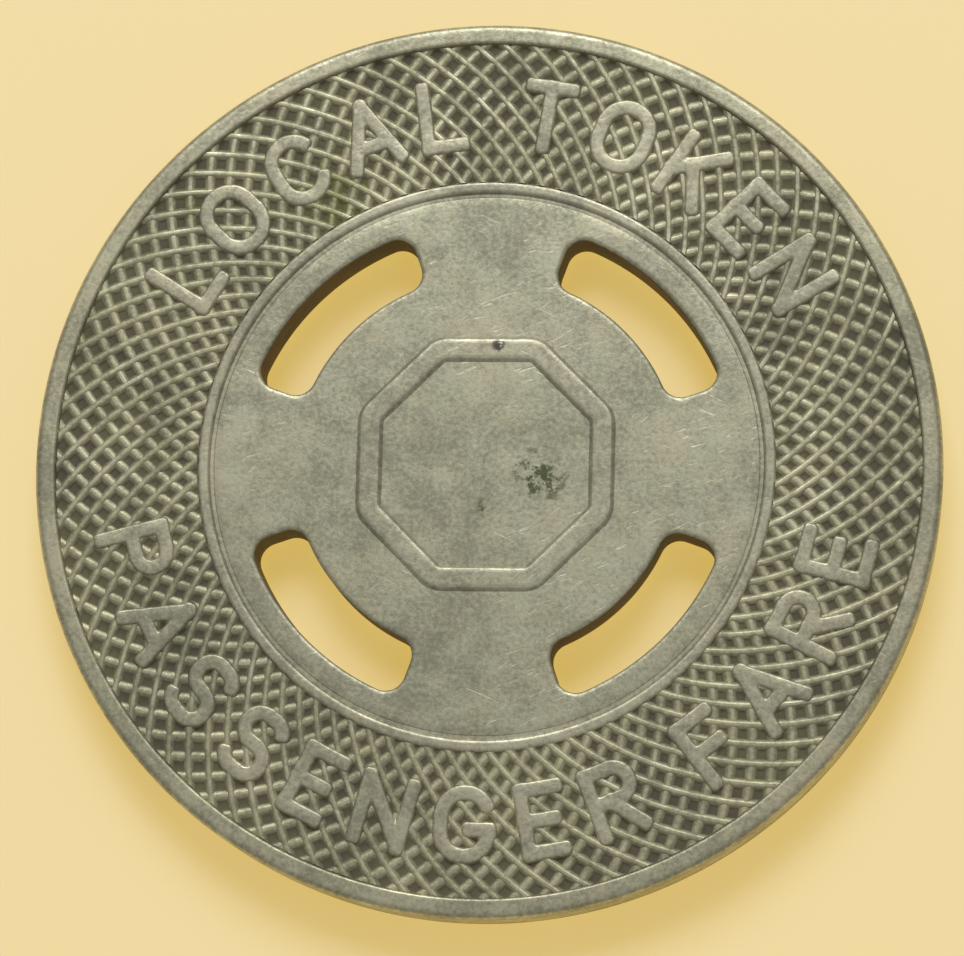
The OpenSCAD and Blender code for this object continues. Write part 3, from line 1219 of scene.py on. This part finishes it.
def scratches_group() -> bpy.types.NodeTree:
    """Fine handling scratches, most of them one way: takes Amount, puts out Mask.

    Returns:
        The group's tree.
    """
    tree, nodes, given, out = new_group("handling_scratches", {"Amount": 0.5}, ["Mask"])
    place = nodes.place()
    total: Input = 0.0
    for number, (turn, thin, long) in enumerate(SCRATCH_RUNS):
        turned = nodes.add("VectorRotate", {"Vector": place, "Angle": turn}, rotation_type="Z_AXIS")
        drawn = nodes.add("VectorMath", {0: turned.outputs[0], 1: (long, thin, 1000.0)}, operation="MULTIPLY")
        shift = (number * 7.3, number * 3.1, 0.0)
        moved = nodes.add("VectorMath", {0: drawn.outputs[0], 1: shift}, operation="ADD").outputs[0]
        patch = nodes.spread(nodes.noise(place, 330.0 + 170 * number, 2.0), 0.46, 0.66)
        line = nodes.math("MULTIPLY", nodes.spread(nodes.noise(moved, 1.0, 2.0, 0.5), 0.64, 0.72), patch)
        total = nodes.math("MAXIMUM", total, line)
    tree.links.new(nodes.math("MULTIPLY", total, given.outputs["Amount"], clamp=True), out.inputs["Mask"])
    return tree


def hollow_dirt_and_shade_group() -> bpy.types.NodeTree:
    """Dirt that settles in hollows, and painted shade on the slots' walls and round the feet of the letters
    and the emblem frame: takes Cavity and Reach, puts out Mask and Hue.

    Returns:
        The group's tree.
    """
    tree, nodes, given, out = new_group("hollow_dirt_and_shade", {"Cavity": 0.0, "Reach": 0.5}, ["Mask", "Hue"])
    place = nodes.place()
    ragged = nodes.noise(place, 3800.0, 3.0, 0.6)
    drift = nodes.noise(place, 330.0, 2.0, 0.5)
    uneven = nodes.math("ADD", nodes.math("MULTIPLY", nodes.math("SUBTRACT", ragged, 0.5), 0.7),
                        nodes.math("MULTIPLY", nodes.math("SUBTRACT", drift, 0.5), 0.8))
    cavity = given.outputs["Cavity"]
    depth = nodes.math("ADD", cavity, nodes.math("MULTIPLY", uneven, cavity))
    level = nodes.math("SUBTRACT", depth, nodes.math("SUBTRACT", 1.0, given.outputs["Reach"]))
    tree.links.new(nodes.spread(level, -0.25, 0.55), out.inputs["Mask"])
    tree.links.new(nodes.spread(nodes.noise(place, 620.0, 2.0, 0.5), 0.4, 0.62), out.inputs["Hue"])
    return tree


def edge_shine_group() -> bpy.types.NodeTree:
    """Bright metal where edges rub, and painted highlight along the emblem frame's edges: takes Wear, puts
    out Mask.

    Returns:
        The group's tree.
    """
    tree, nodes, given, out = new_group("edge_shine", {"Wear": 0.0}, ["Mask"])
    place = nodes.place()
    broken = nodes.noise(place, 4200.0, 3.0, 0.6)
    rubbed = nodes.math("MULTIPLY", given.outputs["Wear"], nodes.spread(broken, 0.3, 0.7, 0.45, 1.25))
    tree.links.new(nodes.spread(rubbed, 0.35, 1.0), out.inputs["Mask"])
    return tree


# --- Finishes ------------------------------------------------------------------------------


@dataclass(frozen=True)
class Stain:
    """A small dark spot on one face: its middle in millimetres, its radius and its strength."""

    x: float
    y: float
    r: float
    strength: float
    colour: Colour = (0.055, 0.075, 0.018)


@dataclass(frozen=True)
class MetalFinish:
    """Aged nickel silver, with dirt in its hollows and bright metal on its edges, and in places painted shade
    and painted highlight through the same masks.
    """

    name: str
    slot: str
    metal: Colour
    bright: Colour = (0.80, 0.78, 0.62)
    # The cavity coat's colours: dirt, and on some pieces painted shade as well.
    dirt: Colour = (0.118, 0.102, 0.066)
    moss: Colour = (0.165, 0.147, 0.092)
    metallic: float = 0.85
    roughness: float = 0.5
    dirt_reach: float = 0.5
    scratches: float = 0.5
    bump: float = 0.25
    bump_depth: float = 0.006
    shade: float = 0.5
    tint: Colour = (1.02, 0.975, 0.95)
    speck_share: float = 0.3
    scratch_share: float = 0.4
    shine_share: float = 0.8
    dirt_share: float = 0.92
    stains: tuple[Stain, ...] = ()

    def material(self) -> bpy.types.Material:
        """The finish's material, made once.

        Returns:
            The material.
        """
        made = bpy.data.materials.get(self.name)
        if made:
            return made
        made = bpy.data.materials.new(self.name)
        made.use_nodes = True
        tree = made.node_tree
        tree.nodes.clear()
        nodes = Nodes(tree)
        cavity = nodes.add("Attribute", attribute_name="cavity").outputs["Fac"]
        wear = nodes.add("Attribute", attribute_name="wear").outputs["Fac"]
        grain = nodes.group("metal_grain")
        lines = nodes.group("handling_scratches", {"Amount": self.scratches}).outputs["Mask"]
        dirt = nodes.group("hollow_dirt_and_shade", {"Cavity": cavity, "Reach": self.dirt_reach})
        shine = nodes.group("edge_shine", {"Wear": wear}).outputs["Mask"]
        shade = (*(self.shade * c for c in self.metal), 1.0)
        warm = (*(c * k for c, k in zip(self.metal, self.tint)), 1.0)
        colour = nodes.mix(grain.outputs["Tint"], (*self.metal, 1.0), warm)
        colour = nodes.mix(grain.outputs["Tone"], shade, colour)
        muck_and_shade = nodes.mix(dirt.outputs["Hue"], (*self.dirt, 1.0), (*self.moss, 1.0))
        # The cavity coat lays dirt, and painted shade on the slots' walls and round the feet of the letters
        # and the emblem frame; the wear coat lays bright worn metal, and painted highlight on the emblem
        # frame's edges.
        coats = (
            (grain.outputs["Speck"], self.speck_share, (*self.dirt, 1.0)),
            (lines, self.scratch_share, (*self.bright, 1.0)),
            (shine, self.shine_share, (*self.bright, 1.0)),
            (dirt.outputs["Mask"], self.dirt_share, muck_and_shade),
        )
        for mask, share, coat in coats:
            colour = nodes.mix(nodes.math("MULTIPLY", mask, share), colour, coat)
        for stain in self.stains:
            colour = nodes.mix(self.stain_mask(nodes, stain), colour, (*stain.colour, 1.0))
        rough = nodes.math("ADD", self.roughness, nodes.math("MULTIPLY", grain.outputs["Tone"], -0.08))
        rough = nodes.math("ADD", rough, nodes.math("MULTIPLY", dirt.outputs["Mask"], 0.35))
        rough = nodes.math("SUBTRACT", rough, nodes.math("MULTIPLY", shine, 0.14), clamp=True)
        dull = nodes.math("MULTIPLY", dirt.outputs["Mask"], 0.6)
        metallic = nodes.math("SUBTRACT", self.metallic, dull, clamp=True)
        height = nodes.math("ADD", nodes.math("MULTIPLY", grain.outputs["Grain"], 0.6), grain.outputs["Tone"])
        height = nodes.math("SUBTRACT", height, nodes.math("MULTIPLY", lines, 1.2))
        bump = nodes.add("Bump", {"Height": height, "Strength": self.bump, "Distance": self.bump_depth * MM})
        shader = nodes.add("BsdfPrincipled", {
            "Base Color": colour, "Roughness": rough, "Metallic": metallic, "Normal": bump.outputs["Normal"],
            "IOR": 1.6,
        })
        output = nodes.add("OutputMaterial")
        tree.links.new(shader.outputs["BSDF"], output.inputs["Surface"])
        return made

    def stain_mask(self, nodes: Nodes, stain: Stain) -> bpy.types.NodeSocket:
        """A ragged spot about a stain's middle.

        Args:
            nodes: The material's nodes.
            stain: The stain.

        Returns:
            Its mask.
        """
        place = nodes.place()
        middle = (stain.x * MM, stain.y * MM, SIZES.token_t * MM)
        away = nodes.add("VectorMath", {0: place, 1: middle}, operation="DISTANCE").outputs["Value"]
        ragged = nodes.noise(place, 4200.0, 5.0, 0.75)
        reach = nodes.math("MULTIPLY", nodes.spread(ragged, 0.38, 0.62, 0.1, 1.6), stain.r * MM)
        share = nodes.math("DIVIDE", away, reach)
        return nodes.spread(share, 1.0, 0.4, 0.0, stain.strength)

    def dress(self, piece: bpy.types.Object) -> None:
        """Gives a piece this finish's material and logs its face count.

        Args:
            piece: The piece to dress.
        """
        piece.data.materials.append(self.material())
        log.info("%s: %d faces, finish %s", piece.name, len(piece.data.polygons), self.name)


# The core's dark brown dirt colours show mostly on the slots' walls, where they paint shade mixed with some
# grime.
CORE = MetalFinish(
    "core_metal", "token_core", (0.60, 0.58, 0.43),
    dirt=(0.15, 0.095, 0.035), moss=(0.11, 0.075, 0.03), dirt_reach=0.62,
)
RIM = MetalFinish("rim_metal", "rim_worn", (0.62, 0.606, 0.435))
RING = MetalFinish("ring_metal", "ring_worn", (0.62, 0.606, 0.45))
FIELD = MetalFinish(
    "centre_metal", "centre_field", (0.605, 0.6, 0.44), scratches=0.9,
    stains=(Stain(1.0, -0.22, 0.42, 0.85), Stain(0.72, 0.02, 0.24, 0.6), Stain(0.02, -0.84, 0.2, 0.8)),
)
EMBLEM = MetalFinish(
    "emblem_metal", "emblem_line", (0.62, 0.606, 0.45), scratches=0.7,
    stains=(Stain(0.2, 2.12, 0.13, 0.95, (0.07, 0.065, 0.06)),),
)
RIDGES = MetalFinish(
    "ridge_metal", "lattice_grimed", (0.565, 0.552, 0.375),
    bright=(0.67, 0.645, 0.475), moss=(0.15, 0.14, 0.075), dirt_reach=0.72, scratches=0.15, roughness=0.58,
    stains=(
        Stain(-2.9, 4.85, 0.75, 0.55, (0.20, 0.20, 0.035)),
        Stain(-5.4, 4.6, 0.4, 0.4, (0.18, 0.17, 0.05)),
    ),
)
LETTERS = MetalFinish("letter_metal", "letter_worn", (0.61, 0.597, 0.44), scratches=0.5)


# --- Stage, light and camera ---------------------------------------------------------------


@dataclass(frozen=True)
class Lamp:
    """A soft square light: its direction in degrees, distance and side in metres, and watts."""

    name: str
    azimuth: float
    elevation: float
    distance: float
    size: float
    power: float

    def build(self) -> None:
        """Hangs the light so that it faces the token."""
        a, e = math.radians(self.azimuth), math.radians(self.elevation)
        toward = Vector((math.cos(a) * math.cos(e), math.sin(a) * math.cos(e), math.sin(e)))
        data = bpy.data.lights.new(self.name, "AREA")
        data.size, data.energy = self.size, self.power
        lamp = bpy.data.objects.new(self.name, data)
        lamp.location = toward * self.distance
        lamp.rotation_mode = "QUATERNION"
        lamp.rotation_quaternion = toward.to_track_quat("Z", "Y")
        bpy.context.scene.collection.objects.link(lamp)


@dataclass
class Studio:
    """A pale floor that glows a little, as a light table does, and soft light."""

    floor_half: float = 0.5
    floor_colour: Colour = (0.49, 0.52, 0.48)
    glow_colour: Colour = (0.56, 0.375, 0.07)
    floor_glow: float = 1.0
    world_colour: Colour = (1.0, 0.97, 0.90)
    world_strength: float = 0.29
    lamps: tuple[Lamp, ...] = (
        Lamp("key_light", 92, 46, 0.35, 0.18, 0.60),
        Lamp("fill_light", -65, 66, 0.35, 0.24, 0.04),
    )

    def build_floor(self) -> None:
        """Lays the floor under the token."""
        shell = bpy.data.meshes.new("studio_floor")
        half = self.floor_half
        corners = [(-half, -half, 0), (half, -half, 0), (half, half, 0), (-half, half, 0)]
        shell.from_pydata(corners, [], [(0, 1, 2, 3)])
        floor = bpy.data.objects.new("studio_floor", shell)
        bpy.context.scene.collection.objects.link(floor)
        made = bpy.data.materials.new("pale_floor")
        made.use_nodes = True
        nodes = Nodes(made.node_tree)
        shader = made.node_tree.nodes["Principled BSDF"]
        cloud = nodes.noise(nodes.place(), 60.0, 2.0)
        darker = tuple(0.96 * c for c in self.floor_colour)
        nodes.fill(shader, {
            "Base Color": nodes.mix(cloud, (*darker, 1.0), (*self.floor_colour, 1.0)), "Roughness": 0.7,
            "Emission Color": (*self.glow_colour, 1.0), "Emission Strength": self.floor_glow,
        })
        floor.data.materials.append(made)

    def build_world(self) -> None:
        """Sets the even light from all round."""
        world = bpy.data.worlds.new("studio_air")
        world.use_nodes = True
        back = world.node_tree.nodes["Background"]
        back.inputs["Color"].default_value = (*self.world_colour, 1.0)
        back.inputs["Strength"].default_value = self.world_strength
        bpy.context.scene.world = world

    def build(self) -> None:
        """Builds the floor, the air and the lights."""
        self.build_floor()
        self.build_world()
        for lamp in self.lamps:
            lamp.build()


@dataclass
class Viewpoint:
    """A camera near the token's axis, leaning towards its lower right."""

    tilt: float = math.radians(12.04)
    heading: float = math.radians(-65.44)
    roll: float = math.radians(1.4)
    distance: float = 8.8689
    shift_right: float = 0.0061
    shift_up: float = 0.0347
    lens: float = 151.04

    def build(self) -> None:
        """Places the camera and makes it the scene's camera."""
        turn = Matrix.Rotation(self.roll, 3, "Z")
        back = Vector((
            math.sin(self.tilt) * math.cos(self.heading),
            math.sin(self.tilt) * math.sin(self.heading),
            math.cos(self.tilt),
        ))
        right = Vector((0, 1, 0)).cross(back).normalized()
        up = back.cross(right)
        scale = SIZES.token_r * MM
        offset = self.distance * back - self.shift_right * right - self.shift_up * up
        axes = Matrix([turn @ right, turn @ up, turn @ back]).transposed()
        data = bpy.data.cameras.new("camera")
        data.lens = self.lens
        data.clip_start = 0.005
        data.clip_end = 10.0
        camera = bpy.data.objects.new("camera", data)
        camera.rotation_mode = "QUATERNION"
        camera.rotation_quaternion = axes.to_quaternion()
        camera.location = turn @ offset * scale + Vector((0, 0, SIZES.token_t * MM))
        bpy.context.scene.collection.objects.link(camera)
        bpy.context.scene.camera = camera


# --- The whole token -----------------------------------------------------------------------


@dataclass
class Face:
    """Everything that stands on one side of the blank."""

    side: Side
    top_words: str
    foot_words: str

    def build(self) -> None:
        """Builds the face's pieces from its edge inwards."""
        Rim(self.side, RIM).build()
        for lean in Lean:
            Lattice(self.side, RIDGES, lean).build()
        Legend(self.side, Place.TOP, self.top_words, LETTERS).build()
        Legend(self.side, Place.FOOT, self.foot_words, LETTERS).build()
        InnerRing(self.side, RING).build()
        Centre(self.side, FIELD).build()
        EmblemFrame(self.side, EMBLEM).build()


def main() -> None:
    """Builds the studio and the token."""
    logging.basicConfig(level=logging.INFO, format="%(name)s %(message)s")
    bpy.context.scene.view_settings.view_transform = "Standard"
    for make_group in (metal_grain_group, scratches_group, hollow_dirt_and_shade_group, edge_shine_group):
        make_group()
    Studio().build()
    Viewpoint().build()
    Blank(CORE).build()
    Face(Side.FRONT, "LOCAL TOKEN", "PASSENGER FARE").build()
    Face(Side.BACK, "GOOD FOR", "ONE FARE").build()


if __name__ == "__main__":
    main()
